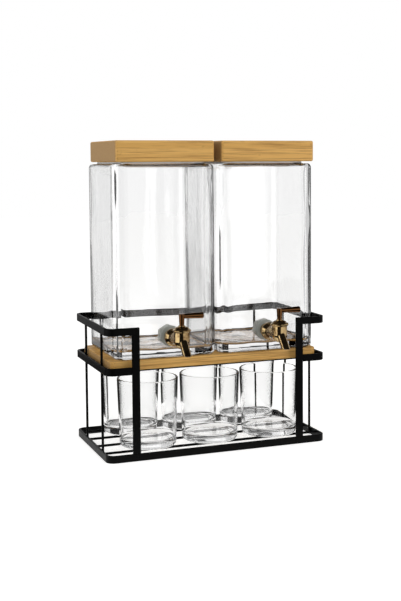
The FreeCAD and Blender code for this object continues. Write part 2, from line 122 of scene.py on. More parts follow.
class JarSettings(bpy.types.PropertyGroup):
    """The two glass jars."""
    tint: colour("Tint", "#FBFBFB", "Colour that thick glass takes on")
    corner: length("Corner radius", 16.0, "Outer radius of the four upright corners")
    wall: length("Wall thickness", 5.0, "Thickness of the walls")
    ceiling: length("Shoulder thickness", 3.0, "Thickness of the glass round the mouth")
    inner_corner: length("Inner corner radius", 15.0, "Inner radius of the corners, where glass gathers")
    floor: length("Foot thickness", 10.0, "Thickness of the glass under the drink")
    heel: length("Heel radius", 6.0, "Rounding at the bottom outside")
    shoulder: length("Shoulder radius", 5.5, "Rounding at the top outside")
    rim_size: length("Rim size", 122.0, "Width of the low square rim")
    rim_height: length("Rim height", 1.0, "Height of the rim above the shoulder")
    mouth_size: length("Mouth size", 100.0, "Width of the square mouth")
    mouth_corner: length("Mouth corner radius", 12.0, "Corner radius of the mouth")
    tap_hole: length("Tap hole diameter", 17.0, "Diameter of the hole for the tap")
    ring: length("Foot ring", 9.0, "Width of the ring under the foot")
    hollow: length("Foot hollow", 1.5, "Depth of the hollow inside that ring")
    corner_wave: length("Corner unevenness", 3.0, "How far the inside wanders near its corners")
    wall_wave: length("Wall unevenness", 0.7, "How far the inside wanders on the flat walls")
    floor_wave: length("Floor unevenness", 1.6, "How far the inside of the foot wanders")


class TapSettings(bpy.types.PropertyGroup):
    """The two taps."""
    brass: colour("Brass", "#E2C690", "Bright lacquered brass")
    patina: colour("Patina", "#5A3212", "Brown patina in the hollows")
    copper: colour("Copper brass", "#8A6844", "Redder brass of the stem and lever")
    neck_diameter: length("Neck diameter", 17.0, "Diameter between collar and barrel")
    barrel_radius: length("Barrel radius", 10.4, "Widest radius of the barrel")
    barrel_mouth: length("Barrel mouth radius", 9.7, "Radius of the barrel under the bonnet")
    spout_diameter: length("Spout diameter", 11.0, "Outside diameter of the spout")
    spout_wall: length("Spout wall", 1.4, "Wall thickness of the spout")
    spout_tilt: bpy.props.FloatProperty(name="Spout tilt", description="Angle from straight down",
                                        default=math.radians(43), subtype="ANGLE")


class TumblerSettings(bpy.types.PropertyGroup):
    """The six tumblers."""
    tint: colour("Tint", "#FEFEFE", "Colour that thick glass takes on")
    base_diameter: length("Base diameter", 73.0, "Diameter at the foot")
    wall: length("Wall thickness", 2.6, "Thickness of the side")
    floor: length("Foot thickness", 9.5, "Thickness of the foot")
    heel: length("Heel radius", 3.0, "Rounding at the bottom outside")
    inner_heel: length("Inner heel radius", 4.0, "Rounding at the bottom inside")
    punt_diameter: length("Punt diameter", 54.0, "Width of the hollow under the foot")
    punt_depth: length("Punt depth", 0.8, "Depth of the hollow under the foot")


class StageSettings(bpy.types.PropertyGroup):
    """Floor, light and camera."""
    floor: colour("Floor", "#E6E6E4", "Pale studio floor")
    ambient: level("Room light", 0.45, "Level of the light from all round")
    cloth: level("Black cloth", 0.02, "Brightness of the black cloth in reflections")
    backdrop: level("Pale walls", 0.95, "Brightness of the pale walls in reflections")
    grey: level("Grey walls", 0.62, "Brightness of the grey walls in reflections")
    window: level("Window", 1.5, "Brightness of the window in reflections")
    softbox: level("Softboxes", 9.0, "Power of each side softbox in watts")


# ---- node and material helpers ----
SHARE, FIRST, SECOND, MIXED = 0, 6, 7, 2  # a colour mix node's sockets: three that go in, one that comes out


def add_node(tree, kind, inputs=None, **settings):
    """Adds a node to a tree, with its settings and with its inputs set to values or joined to sockets. An
    input goes by its name, or by its place where several share a name."""
    node = tree.nodes.new(kind)
    for name, value in settings.items():
        setattr(node, name, value)
    for name, value in (inputs or {}).items():
        if isinstance(value, bpy.types.NodeSocket):
            tree.links.new(value, node.inputs[name])
        else:
            node.inputs[name].default_value = value
    return node


def rgba(values):
    """A colour as colour sockets take it, with full alpha."""
    return (*values, 1)


def finish(build):
    """The finish that a function builds, built once and named for it."""
    name = build.__name__
    found = bpy.data.materials.get(name)
    if found is None:
        found = bpy.data.materials.new(name)
        found.use_nodes = True
        found.node_tree.nodes.clear()
        build(found.node_tree)
    return found


def settings():
    """Where the settings are kept: each group is a property of the scene."""
    return bpy.context.scene


def plainly_seen(tree):
    """1 for what the camera, a mirroring surface or glass sees, and 0 for light that falls on matt
    surfaces."""
    ray = add_node(tree, "ShaderNodeLightPath")
    seen = add_node(tree, "ShaderNodeMath", {
        0: ray.outputs["Is Camera Ray"], 1: ray.outputs["Is Glossy Ray"],
    }, operation="MAXIMUM")
    seen = add_node(tree, "ShaderNodeMath", {
        0: seen.outputs[0], 1: ray.outputs["Is Transmission Ray"],
    }, operation="MAXIMUM")
    return seen.outputs[0]


# ---- materials ----
DUSTY = 1.8  # how much paler the paint is where dust lies on it


def powder_coat(tree):
    """Black powder coat: satin, with a fine orange peel that breaks up the highlights."""
    black = settings().dispenser_stand.paint
    place = add_node(tree, "ShaderNodeTexCoord").outputs["Object"]
    peel = add_node(tree, "ShaderNodeTexNoise", {"Vector": place, "Scale": 1 / (1.6 * MM), "Detail": 2})
    dust = add_node(tree, "ShaderNodeTexNoise", {"Vector": place, "Scale": 1 / (30 * MM), "Detail": 4})
    gloss = add_node(tree, "ShaderNodeMapRange", {"Value": dust.outputs[0], "To Min": 0.36, "To Max": 0.5})
    tone = add_node(tree, "ShaderNodeMix", {
        SHARE: dust.outputs[0], FIRST: rgba(black), SECOND: rgba([share * DUSTY for share in black]),
    }, data_type="RGBA")
    bump = add_node(tree, "ShaderNodeBump", {
        "Height": peel.outputs[0], "Strength": 0.25, "Distance": 0.08 * MM,
    })
    paint = add_node(tree, "ShaderNodeBsdfPrincipled", {
        "Base Color": tone.outputs[MIXED], "Roughness": gloss.outputs[0], "Normal": bump.outputs[0],
        "Specular IOR Level": 0.07,
    })
    add_node(tree, "ShaderNodeOutputMaterial", {"Surface": paint.outputs[0]})


def laminated_bamboo(tree):
    """Laminated bamboo, sanded and oiled: straight strips of slightly different tone along X, fine fibres
    along them, a darker node mark across a strip here and there, and greyer end grain."""
    look = settings().dispenser_bamboo
    mark_width = 1.3 * look.strip  # a mark reaches a little past the strip that it crosses
    place = add_node(tree, "ShaderNodeTexCoord")
    strip_cells = add_node(tree, "ShaderNodeMapping", {
        "Vector": place.outputs["Object"], "Location": (0.5, 0.2, 0.35),
        "Scale": (1 / look.strip_length, 1 / look.strip, 1 / look.strip),
    })
    strip_index = add_node(tree, "ShaderNodeVectorMath", {0: strip_cells.outputs[0]}, operation="FLOOR")
    strip_tone = add_node(tree, "ShaderNodeTexWhiteNoise", {"Vector": strip_index.outputs[0]})
    # fibres are finer on the real wood; these are drawn wide enough to show from where a buyer stands
    fibre_place = add_node(tree, "ShaderNodeMapping", {
        "Vector": place.outputs["Object"], "Scale": (1 / (70 * MM), 1 / (1.5 * MM), 1 / (1.5 * MM)),
    })
    fibre = add_node(tree, "ShaderNodeTexNoise", {
        "Vector": fibre_place.outputs[0], "Scale": 1.0, "Detail": 5, "Roughness": 0.65,
    })
    mark_place = add_node(tree, "ShaderNodeMapping", {
        "Vector": place.outputs["Object"], "Scale": (1 / (9 * MM), 1 / mark_width, 1 / mark_width),
    })
    mark = add_node(tree, "ShaderNodeTexNoise", {"Vector": mark_place.outputs[0], "Scale": 1.0, "Detail": 1})
    mark_share = add_node(tree, "ShaderNodeMapRange", {
        "Value": mark.outputs[0], "From Min": 0.7, "From Max": 0.82, "To Min": 0.0, "To Max": 0.45,
    })
    fibre_share = add_node(tree, "ShaderNodeMapRange", {
        "Value": fibre.outputs[0], "From Min": 0.45, "From Max": 0.7, "To Min": 0.0, "To Max": 0.8,
    })
    facing = add_node(tree, "ShaderNodeSeparateXYZ", {0: place.outputs["Normal"]})
    sideways = add_node(tree, "ShaderNodeMath", {0: facing.outputs["X"]}, operation="ABSOLUTE")
    end_share = add_node(tree, "ShaderNodeMapRange", {
        "Value": sideways.outputs[0], "From Min": 0.75, "From Max": 0.95,
    })
    strips = add_node(tree, "ShaderNodeMix", {
        SHARE: strip_tone.outputs["Value"], FIRST: rgba(look.dark), SECOND: rgba(look.light),
    }, data_type="RGBA")
    fibred = add_node(tree, "ShaderNodeMix", {
        SHARE: fibre_share.outputs[0], FIRST: strips.outputs[MIXED], SECOND: rgba(look.fibre),
    }, data_type="RGBA")
    marked = add_node(tree, "ShaderNodeMix", {
        SHARE: mark_share.outputs[0], FIRST: fibred.outputs[MIXED], SECOND: rgba(look.fibre),
    }, data_type="RGBA")
    pore_place = add_node(tree, "ShaderNodeMapping", {
        "Vector": place.outputs["Object"], "Scale": (1 / (70 * MM), 1 / (3 * MM), 1 / (3 * MM)),
    })
    pores = add_node(tree, "ShaderNodeTexNoise", {"Vector": pore_place.outputs[0], "Scale": 1.0, "Detail": 4})
    end_grain = add_node(tree, "ShaderNodeMix", {
        SHARE: pores.outputs[0], FIRST: rgba(look.end_dark), SECOND: rgba(look.end_light),
    }, data_type="RGBA")
    tone = add_node(tree, "ShaderNodeMix", {
        SHARE: end_share.outputs[0], FIRST: marked.outputs[MIXED], SECOND: end_grain.outputs[MIXED],
    }, data_type="RGBA")
    gloss = add_node(tree, "ShaderNodeMapRange", {"Value": fibre.outputs[0], "To Min": 0.42, "To Max": 0.6})
    bump = add_node(tree, "ShaderNodeBump", {
        "Height": fibre.outputs[0], "Strength": 0.3, "Distance": 0.12 * MM,
    })
    wood = add_node(tree, "ShaderNodeBsdfPrincipled", {
        "Base Color": tone.outputs[MIXED], "Roughness": gloss.outputs[0], "Normal": bump.outputs[0],
    })
    add_node(tree, "ShaderNodeOutputMaterial", {"Surface": wood.outputs[0]})


def clear_glass(tree, tint, ripple, bend):
    """Soda-lime glass, pressed and fire polished: clear, with a light tint at each surface that light passes,
    and a slow ripple. Lamps shine through it, so that what stands behind it is lit. Bend is its index."""
    place = add_node(tree, "ShaderNodeTexCoord").outputs["Object"]
    wave_place = add_node(tree, "ShaderNodeMapping", {
        "Vector": place, "Scale": (1 / (18 * MM), 1 / (18 * MM), 1 / (45 * MM)),
    })
    wave = add_node(tree, "ShaderNodeTexNoise", {"Vector": wave_place.outputs[0], "Scale": 1.0, "Detail": 1})
    bump = add_node(tree, "ShaderNodeBump", {"Height": wave.outputs[0], "Strength": 0.5, "Distance": ripple})
    glass = add_node(tree, "ShaderNodeBsdfPrincipled", {
        "Base Color": rgba(tint), "Roughness": 0.0, "IOR": bend, "Transmission Weight": 1.0,
        "Normal": bump.outputs[0],
    })
    shade = add_node(tree, "ShaderNodeBsdfTransparent", {"Color": rgba(tint)})
    ray = add_node(tree, "ShaderNodeLightPath")
    both = add_node(tree, "ShaderNodeMixShader", {
        0: ray.outputs["Is Shadow Ray"], 1: glass.outputs[0], 2: shade.outputs[0],
    })
    add_node(tree, "ShaderNodeOutputMaterial", {"Surface": both.outputs[0]})


def pressed_jar_glass(tree):
    """The jars' glass, with the index of soda-lime glass and a ripple that shows."""
    clear_glass(tree, settings().dispenser_jar.tint, ripple=0.25 * MM, bend=1.52)


def pressed_tumbler_glass(tree):
    """The tumblers' glass, almost smooth. Its index is lower than the real one, so their edges stay light."""
    clear_glass(tree, settings().dispenser_tumbler.tint, ripple=0.03 * MM, bend=1.36)


def antique_metal(tree, bright, dull, patina):
    """Polished brass with an antique finish: brown patina in soft patches, as much as is asked, under a clear
    lacquer."""
    place = add_node(tree, "ShaderNodeTexCoord").outputs["Object"]
    cloud = add_node(tree, "ShaderNodeTexNoise", {
        "Vector": place, "Scale": 1 / (9 * MM), "Detail": 5, "Roughness": 0.6,
    })
    grain = add_node(tree, "ShaderNodeTexNoise", {"Vector": place, "Scale": 1 / (1.2 * MM), "Detail": 3})
    share = add_node(tree, "ShaderNodeMapRange", {
        "Value": cloud.outputs[0], "From Min": 0.42, "From Max": 0.72,
        "To Min": patina, "To Max": 1 - patina / 3,
    })
    tone = add_node(tree, "ShaderNodeMix", {
        SHARE: share.outputs[0], FIRST: rgba(bright), SECOND: rgba(dull),
    }, data_type="RGBA")
    gloss = add_node(tree, "ShaderNodeMapRange", {"Value": cloud.outputs[0], "To Min": 0.08, "To Max": 0.2})
    bump = add_node(tree, "ShaderNodeBump", {
        "Height": grain.outputs[0], "Strength": 0.06, "Distance": 0.05 * MM,
    })
    metal = add_node(tree, "ShaderNodeBsdfPrincipled", {
        "Base Color": tone.outputs[MIXED], "Metallic": 1.0, "Roughness": gloss.outputs[0],
        "Normal": bump.outputs[0],
    })
    add_node(tree, "ShaderNodeOutputMaterial", {"Surface": metal.outputs[0]})


def aged_brass(tree):
    """Cast brass, bright with some patina."""
    antique_metal(tree, settings().dispenser_tap.brass, settings().dispenser_tap.patina, 0.32)


def aged_copper_brass(tree):
    """Turned red brass, darker under more patina."""
    antique_metal(tree, settings().dispenser_tap.copper, settings().dispenser_tap.patina, 0.6)


GLOSS_SPREAD = 0.06


def moulded(tree, code, roughness, clearness, speck):
    """A moulded soft or hard plastic: an even colour with faint flow clouds and a fine moulding grain."""
    place = add_node(tree, "ShaderNodeTexCoord").outputs["Object"]
    cloud = add_node(tree, "ShaderNodeTexNoise", {"Vector": place, "Scale": 1 / (6 * MM), "Detail": 3})
    grain = add_node(tree, "ShaderNodeTexNoise", {"Vector": place, "Scale": 1 / (0.8 * MM), "Detail": 2})
    pale = linear(code)
    tone = add_node(tree, "ShaderNodeMix", {
        SHARE: cloud.outputs[0], FIRST: rgba(pale), SECOND: rgba([share * (1 - speck) for share in pale]),
    }, data_type="RGBA")
    gloss = add_node(tree, "ShaderNodeMapRange", {
        "Value": cloud.outputs[0], "To Min": roughness - GLOSS_SPREAD, "To Max": roughness + GLOSS_SPREAD,
    })
    bump = add_node(tree, "ShaderNodeBump", {
        "Height": grain.outputs[0], "Strength": 0.15, "Distance": 0.04 * MM,
    })
    body = add_node(tree, "ShaderNodeBsdfPrincipled", {
        "Base Color": tone.outputs[MIXED], "Roughness": gloss.outputs[0], "Normal": bump.outputs[0],
        "Transmission Weight": clearness, "IOR": 1.45,
    })
    add_node(tree, "ShaderNodeOutputMaterial", {"Surface": body.outputs[0]})


def milky_silicone(tree):
    """Natural silicone, milky where it is thick."""
    moulded(tree, "#FEFEFC", roughness=0.45, clearness=0.2, speck=0.02)


def washer_silicone(tree):
    """Translucent grey silicone, as in tap washers."""
    moulded(tree, "#D6DAD2", roughness=0.4, clearness=0.3, speck=0.2)


def nut_nylon(tree):
    """Natural nylon, moulded, greyish and slightly see-through."""
    moulded(tree, "#DADCD4", roughness=0.35, clearness=0.25, speck=0.25)


def slip_ptfe(tree):
    """White PTFE, waxy and matt."""
    moulded(tree, "#F0F0EE", roughness=0.5, clearness=0.0, speck=0.05)


def nitrile_rubber(tree):
    """Black nitrile rubber, matt with a faint bloom."""
    moulded(tree, "#1A1A1A", roughness=0.6, clearness=0.0, speck=0.3)


# ---- mesh helpers ----
def finish_piece(bm, name, body, replaced, material):
    """Turns a bmesh into a piece: outward faces, smooth shading, its finish and the body that it rides on."""
    bmesh.ops.remove_doubles(bm, verts=bm.verts, dist=SAME_PLACE)
    bmesh.ops.recalc_face_normals(bm, faces=bm.faces)
    mesh = bpy.data.meshes.new(name)
    bm.to_mesh(mesh)
    bm.free()
    mesh.shade_smooth()
    mesh.set_sharp_from_angle(angle=SMOOTH_BELOW)
    mesh.materials.append(material)
    piece = bpy.data.objects.new(name, mesh)
    bpy.context.scene.collection.objects.link(piece)
    piece.modifiers.new("Even shading", "WEIGHTED_NORMAL").keep_sharp = True
    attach(piece, body)
    if replaced:
        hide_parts(*replaced)
    return piece


def block(bm, low, high):
    """A plain block between two corners."""
    size = high - low
    place = Matrix.Translation((low + high) / 2) @ Matrix.Diagonal((*size, 1))
    return bmesh.ops.create_cube(bm, size=1, matrix=place)["verts"]


def round_edges(bm, edges, radius, steps):
    """Rounds edges, in a number of steps."""
    bmesh.ops.bevel(bm, geom=edges, offset=radius, offset_type="OFFSET", affect="EDGES", segments=steps,
                    profile=0.5, material=-1, clamp_overlap=False)


def upright(edge):
    """True for an edge that runs straight up."""
    way = edge.verts[1].co - edge.verts[0].co
    return math.hypot(way.x, way.y) < SAME_PLACE


def at_height(edge, z):
    """True for a level edge at a height."""
    return all(abs(vert.co.z - z) < SAME_PLACE for vert in edge.verts)


def round_corners(bm, radius, steps=12):
    """Rounds all edges that run straight up."""
    round_edges(bm, [each for each in bm.edges if upright(each)], radius, steps)


def round_rim(bm, z, radius, steps):
    """Rounds the level edges at one height."""
    round_edges(bm, [each for each in bm.edges if at_height(each, z)], radius, steps)


def all_of(bm):
    """All geometry of a bmesh."""
    return bm.verts[:] + bm.edges[:] + bm.faces[:]


def rounded_slab(bm, low, high, corner, edge):
    """A flat block with round upright corners and softly rounded edges above and below."""
    block(bm, low, high)
    round_corners(bm, corner)
    rims = [each for each in bm.edges if at_height(each, low.z) or at_height(each, high.z)]
    round_edges(bm, rims, edge, steps=4)


def rod(bm, start, end, radius, sides=20):
    """A round bar from one point to another."""
    way = end - start
    turn = way.to_track_quat("Z", "Y").to_matrix().to_4x4()
    place = Matrix.Translation((start + end) / 2) @ turn
    return bmesh.ops.create_cone(bm, cap_ends=True, segments=sides, radius1=radius, radius2=radius,
                                 depth=way.length, matrix=place)["verts"]


def turned(bm, outline, centre, axis, side, steps=72, closed=False):
    """Spins an outline of (along the axis, radius, rounding) points round an axis."""
    verts = [bm.verts.new(centre + axis * along + side * radius) for along, radius, _ in outline]
    links = list(zip(verts, verts[1:])) + ([(verts[-1], verts[0])] if closed else [])
    for pair in links:
        bm.edges.new(pair)
    for vert, (_, _, rounding) in zip(verts, outline):
        if rounding:
            arc_steps = max(FEWEST_STEPS, min(MOST_STEPS, round(rounding / ARC_STEP)))
            bmesh.ops.bevel(bm, geom=[vert], offset=rounding, affect="VERTICES", segments=arc_steps,
                            profile=0.5, material=-1, clamp_overlap=False)
    bmesh.ops.remove_doubles(bm, verts=bm.verts, dist=SAME_PLACE)
    bmesh.ops.spin(bm, geom=bm.verts[:] + bm.edges[:], cent=centre, axis=axis, angle=FULL_TURN, steps=steps,
                   use_merge=True)
    bmesh.ops.remove_doubles(bm, verts=bm.verts, dist=SAME_PLACE)


def combine(bm, tool, operation):
    """Joins a second closed shape to the first, or cuts it away from the first."""
    shapes = []
    for each in (bm, tool):
        mesh = bpy.data.meshes.new("working_shape")
        each.to_mesh(mesh)
        each.free()
        shapes.append(bpy.data.objects.new("working_shape", mesh))
        bpy.context.scene.collection.objects.link(shapes[-1])
    change = shapes[0].modifiers.new("Combine", "BOOLEAN")
    change.operation, change.object, change.solver = operation, shapes[1], "EXACT"
    result = bmesh.new()
    result.from_object(shapes[0], bpy.context.evaluated_depsgraph_get())
    for each in shapes:
        bpy.data.meshes.remove(each.data)
    return result


def dress(nodes, material):
    """Gives CAD nodes that stay a finish."""
    for node in nodes:
        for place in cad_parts[node].material_slots:
            place.material = material


# ---- stand ----
def ring_bar(bm, low, high, corner, thickness, edge, opening):
    """A ring of flat bar on edge; an opening is the half width that is cut from its front."""
    block(bm, low, high)
    round_corners(bm, corner, steps=10)
    level = [face for face in bm.faces if abs(face.normal.z) > 0.5]
    bmesh.ops.delete(bm, geom=level, context="FACES_ONLY")
    if opening:
        for side in (-1, 1):
            bmesh.ops.bisect_plane(bm, geom=all_of(bm), plane_co=X * side * opening, plane_no=X)
        front = low.y + corner / 4
        middles = {face: face.calc_center_median() for face in bm.faces}
        gap = [face for face, middle in middles.items() if middle.y < front and abs(middle.x) < opening]
        bmesh.ops.delete(bm, geom=gap, context="FACES")
    bmesh.ops.recalc_face_normals(bm, faces=bm.faces)
    bmesh.ops.solidify(bm, geom=bm.faces[:], thickness=thickness)
    bmesh.ops.recalc_face_normals(bm, faces=bm.faces)
    sharp = [each for each in bm.edges if len(each.link_faces) == 2 and each.calc_face_angle() > SMOOTH_BELOW]
    round_edges(bm, sharp, edge, steps=2)


def wire_ends(node, run, row, count):
    """The start and end of each wire of a node. Run is the axis that they run along, row the axis of their
    row, and count how many there are."""
    low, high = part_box(node)
    radius = settings().dispenser_stand.wire_diameter / 2
    ends = []
    for place in range(count):
        start, end = low.copy(), high.copy()
        for axis in range(3):
            if axis != run:
                start[axis] = end[axis] = (low[axis] + high[axis]) / 2
        share = place / (count - 1)
        start[row] = end[row] = low[row] + radius + (high[row] - low[row] - 2 * radius) * share
        ends.append((start, end))
    return ends


def weld_bead(bm, place, size):
    """A small flattened drop of weld under the paint."""
    scale = Matrix.Translation(place) @ Matrix.Diagonal((*size, 1))
    bmesh.ops.create_icosphere(bm, subdivisions=2, radius=1, matrix=scale)


WIRES = {  # node: axis the wires run along, axis of their row, how many
    "base_wires": (0, 1, 4),
    "shelf_wires": (0, 1, 4),
    "back_wires": (2, 0, 2),
    "side_wires_left": (2, 1, 2),
    "side_wires_right": (2, 1, 2),
}


class DISPENSER_OT_stand(bpy.types.Operator):
    """Builds the painted stand: rings, posts, wires and welds"""
    bl_idname = "dispenser.stand"
    bl_label = "Stand"

    def execute(self, context):
        look = settings().dispenser_stand
        paint = finish(powder_coat)
        post_low, post_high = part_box("front_post_right")
        rings = {"base_ring": 0, "shelf_ring": post_high.x, "guard_rail": post_low.x}
        for node, opening in rings.items():
            bm = bmesh.new()
            ring_bar(bm, *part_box(node), look.ring_corner, look.bar_thickness, look.bar_edge, opening)
            finish_piece(bm, node + "_bar", "stand", [node], paint)
        for side in SIDES:
            bm = bmesh.new()
            block(bm, *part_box("front_post_" + side))
            round_edges(bm, bm.edges[:], look.bar_edge, steps=2)
            finish_piece(bm, "post_" + side, "stand", ["front_post_" + side], paint)
        welds = bmesh.new()
        for node, layout in WIRES.items():
            bm = bmesh.new()
            for start, end in wire_ends(node, *layout):
                rod(bm, start, end, look.wire_diameter / 2)
                self.weld(welds, start, end, look)
            finish_piece(bm, node + "_rods", "stand", [node], paint)
        finish_piece(welds, "stand_welds", "stand", [], paint)
        return {"FINISHED"}

    def weld(self, welds, start, end, look):
        """Beads where a wire meets the bars: at both ends of a level wire, or at the edges of each ring that
        an upright one passes."""
        size = Vector((1, 1, 1)) * look.weld_size
        if abs(start.z - end.z) < SAME_PLACE:
            inward = look.weld_size / 3
            weld_bead(welds, start + X * inward, size)
            weld_bead(welds, end - X * inward, size)
            return
        for node in ("base_ring", "shelf_ring", "guard_rail"):
            low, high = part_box(node)
            for z in (low.z, high.z):
                if start.z < z < end.z:
                    weld_bead(welds, Vector((start.x, start.y, z)), size)


# ---- board and lids ----
class DISPENSER_OT_wood(bpy.types.Operator):
    """Builds the bamboo board and the two lids with their gaskets"""
    bl_idname = "dispenser.wood"
    bl_label = "Board and lids"

    def execute(self, context):
        look = settings().dispenser_bamboo
        bamboo = finish(laminated_bamboo)
        bm = bmesh.new()
        rounded_slab(bm, *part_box("shelf_board"), look.board_corner, look.board_edge)
        finish_piece(bm, "bamboo_board", "board", ["shelf_board"], bamboo)
        for side in SIDES:
            body = "lid_set_" + side
            bm = bmesh.new()
            rounded_slab(bm, *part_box("lid_" + side), look.lid_corner, look.lid_edge)
            finish_piece(bm, "bamboo_lid_" + side, body, ["lid_" + side], bamboo)
        dress(["lid_plug_" + side for side in SIDES], bamboo)
        dress(["lid_seal_" + side for side in SIDES], finish(milky_silicone))
        return {"FINISHED"}


# ---- jars ----
def jar_outside(look, low, high):
    """The jar's outer skin: a block with round corners, heel and shoulder, and the low square rim on it."""
    shoulder = high.z - look.rim_height
    bm = bmesh.new()
    block(bm, low, Vector((high.x, high.y, shoulder)))
    round_corners(bm, look.corner)
    round_rim(bm, low.z, look.heel, steps=6)
    round_rim(bm, shoulder, look.shoulder, steps=6)
    middle = ((low + high) / 2).xy.to_3d()
    reach = Vector((look.rim_size / 2, look.rim_size / 2, 0))
    rim = bmesh.new()
    block(rim, middle - reach + Z * (shoulder - look.wall / 2), middle + reach + Z * high.z)
    round_corners(rim, look.mouth_corner + (look.rim_size - look.mouth_size) / 2)
    round_rim(rim, high.z, look.rim_height / 2, steps=4)
    return combine(bm, rim, "UNION")


SLICES = ((X, 10 * MM), (Y, 10 * MM), (Z, 6.5 * MM))  # the hollow's sides can bend where it is sliced
SLICE_SNAP = 0.05 * MM  # a point this near to a slice counts as on it
INNER_HEEL_SHARE = 0.7  # of the radius outside
INNER_SHOULDER_SHARE = 0.4


def jar_hollow(look, low, high):
    """The room inside the jar under its shoulder."""
    ceiling = high.z - look.rim_height - look.ceiling
    ground = low.z + look.floor
    inset = Vector((look.wall, look.wall, 0))
    bm = bmesh.new()
    block(bm, low.xy.to_3d() + inset + Z * ground, high.xy.to_3d() - inset + Z * ceiling)
    round_corners(bm, look.inner_corner)
    round_rim(bm, ground, look.heel * INNER_HEEL_SHARE, steps=5)
    round_rim(bm, ceiling, look.shoulder * INNER_SHOULDER_SHARE, steps=5)
    for way, pitch in SLICES:
        start, stop = (low + inset).dot(way), high.dot(way)
        for step in range(1, int((stop - start) / pitch)):
            bmesh.ops.bisect_plane(bm, geom=all_of(bm), plane_co=way * (start + step * pitch), plane_no=way,
                                   dist=SLICE_SNAP)
    uneven(bm, look, (low + high) / 2, (high.x - low.x) / 2 - look.wall, ground, ceiling)
    return bm


FADE_HEIGHT = 12 * MM  # the sides run true again over this height under the ceiling
SIDE_DEPTH = 3 * MM  # what lies within this of a flat side belongs to the sides
FOOT_DEPTH = 8 * MM  # and within this of the ground, to the foot
SIDE_WAVES = (50 * MM, 85 * MM)  # length of the waves round the jar, and up it
FOOT_WAVES = 26 * MM
GATHER = 4  # the higher, the more of the wandering is kept for the corners
INWARD = 0.3  # the sides wander further in than out
FOOT_SWIRL = 7.3  # where the noise of the foot is read


def uneven(bm, look, centre, reach, ground, ceiling):
    """Lets the hollow's sides and floor wander, as in pressed and blown glass: the sides most near the
    corners."""
    round_wave, up_wave = SIDE_WAVES
    for vert in bm.verts:
        flat = vert.co.xy - centre.xy
        outer, inner = sorted((abs(flat.x), abs(flat.y)), reverse=True)
        fade = min(1, max(0, (ceiling - vert.co.z) / FADE_HEIGHT))
        if outer > reach - SIDE_DEPTH:
            place = Vector((vert.co.x / round_wave, vert.co.y / round_wave, vert.co.z / up_wave))
            depth = look.wall_wave + (look.corner_wave - look.wall_wave) * (inner / reach) ** GATHER
            vert.co.xy -= flat.normalized() * depth * fade * (noise.noise(place) + INWARD)
        if vert.co.z < ground + FOOT_DEPTH:
            swirl = noise.noise(Vector((vert.co.x / FOOT_WAVES, vert.co.y / FOOT_WAVES, FOOT_SWIRL)))
            vert.co.z += look.floor_wave * swirl


HOLLOW_ROUND = 0.8  # share of the hollow's depth under the foot that is rounded
LIP_RADIUS = 0.6 * MM
LIP_PLAY = 0.1 * MM  # how far past the mouth an edge may lie and still be of the lip


class DISPENSER_OT_jars(bpy.types.Operator):
    """Builds the two square glass jars"""
    bl_idname = "dispenser.jars"
    bl_label = "Jars"

    def execute(self, context):
        look = settings().dispenser_jar
        glass = finish(pressed_jar_glass)
        for side in SIDES:
            low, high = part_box("jar_" + side)
            bm = combine(jar_outside(look, low, high), jar_hollow(look, low, high), "DIFFERENCE")
            bm = combine(bm, self.mouth(look, low, high), "DIFFERENCE")
            bm = combine(bm, self.underside(look, low, high), "DIFFERENCE")
            round_edges(bm, self.lip(bm, look, low, high), LIP_RADIUS, steps=4)
            bm = combine(bm, self.tap_hole(side, low.y, look), "DIFFERENCE")
            finish_piece(bm, "glass_jar_" + side, "jar_set_" + side, ["jar_" + side], glass)
        return {"FINISHED"}

    def mouth(self, look, low, high):
        """The square opening for the lid's plug, from above the rim into the hollow."""
        middle = ((low + high) / 2).xy.to_3d()
        reach = Vector((look.mouth_size / 2, look.mouth_size / 2, 0))
        bm = bmesh.new()
        block(bm, middle - reach + Z * (high.z - 3 * look.wall), middle + reach + Z * (high.z + look.wall))
        round_corners(bm, look.mouth_corner)
        return bm

    def lip(self, bm, look, low, high):
        """The edges round the mouth at the top of the rim."""
        middle = (low + high) / 2
        reach = look.mouth_size / 2 + LIP_PLAY

        def within(vert):
            return max(abs(vert.co.x - middle.x), abs(vert.co.y - middle.y)) < reach

        return [each for each in bm.edges if at_height(each, high.z) and all(map(within, each.verts))]

    def underside(self, look, low, high):
        """The shallow hollow under the foot, which leaves a ring to stand on."""
        inset = Vector((look.ring, look.ring, 0))
        top = low.z + look.hollow
        bm = bmesh.new()
        block(bm, low.xy.to_3d() + inset + Z * (low.z - look.hollow), high.xy.to_3d() - inset + Z * top)
        round_corners(bm, look.corner)
        round_rim(bm, top, look.hollow * HOLLOW_ROUND, steps=4)
        return bm

    def tap_hole(self, side, front, look):
        """The round hole for the tap's shank."""
        low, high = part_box("tap_outer_washer_" + side)
        middle = (low + high) / 2
        bm = bmesh.new()
        start = Vector((middle.x, front - look.wall, middle.z))
        rod(bm, start, start + Y * 3 * look.wall, look.tap_hole / 2, sides=48)
        return bm


# ---- taps ----
class TapPlace:
    """Where one tap's axes run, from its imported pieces."""

    def __init__(self, side):
        barrel_low, barrel_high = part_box("tap_bonnet_" + side)
        collar_low, collar_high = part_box("tap_escutcheon_" + side)
        self.side = side
        self.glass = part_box("jar_" + side)[0].y
        self.shank = (collar_low + collar_high) / 2
        self.barrel = (barrel_low + barrel_high) / 2
        self.barrel.z = self.shank.z
        self.jar_body = "jar_set_" + side
        self.handle_body = "tap_handle_" + side


SKIRT = 2 * MM  # depth of the bonnet's skirt, which is in the barrel, under its flange
NECK_LAP = 2 * MM  # how far the neck runs on inside the collar
SHANK_STEP = 0.5 * MM  # the shank's radius is this much less than the neck's
VOXEL = 0.45 * MM  # fine enough to keep the casting's edges


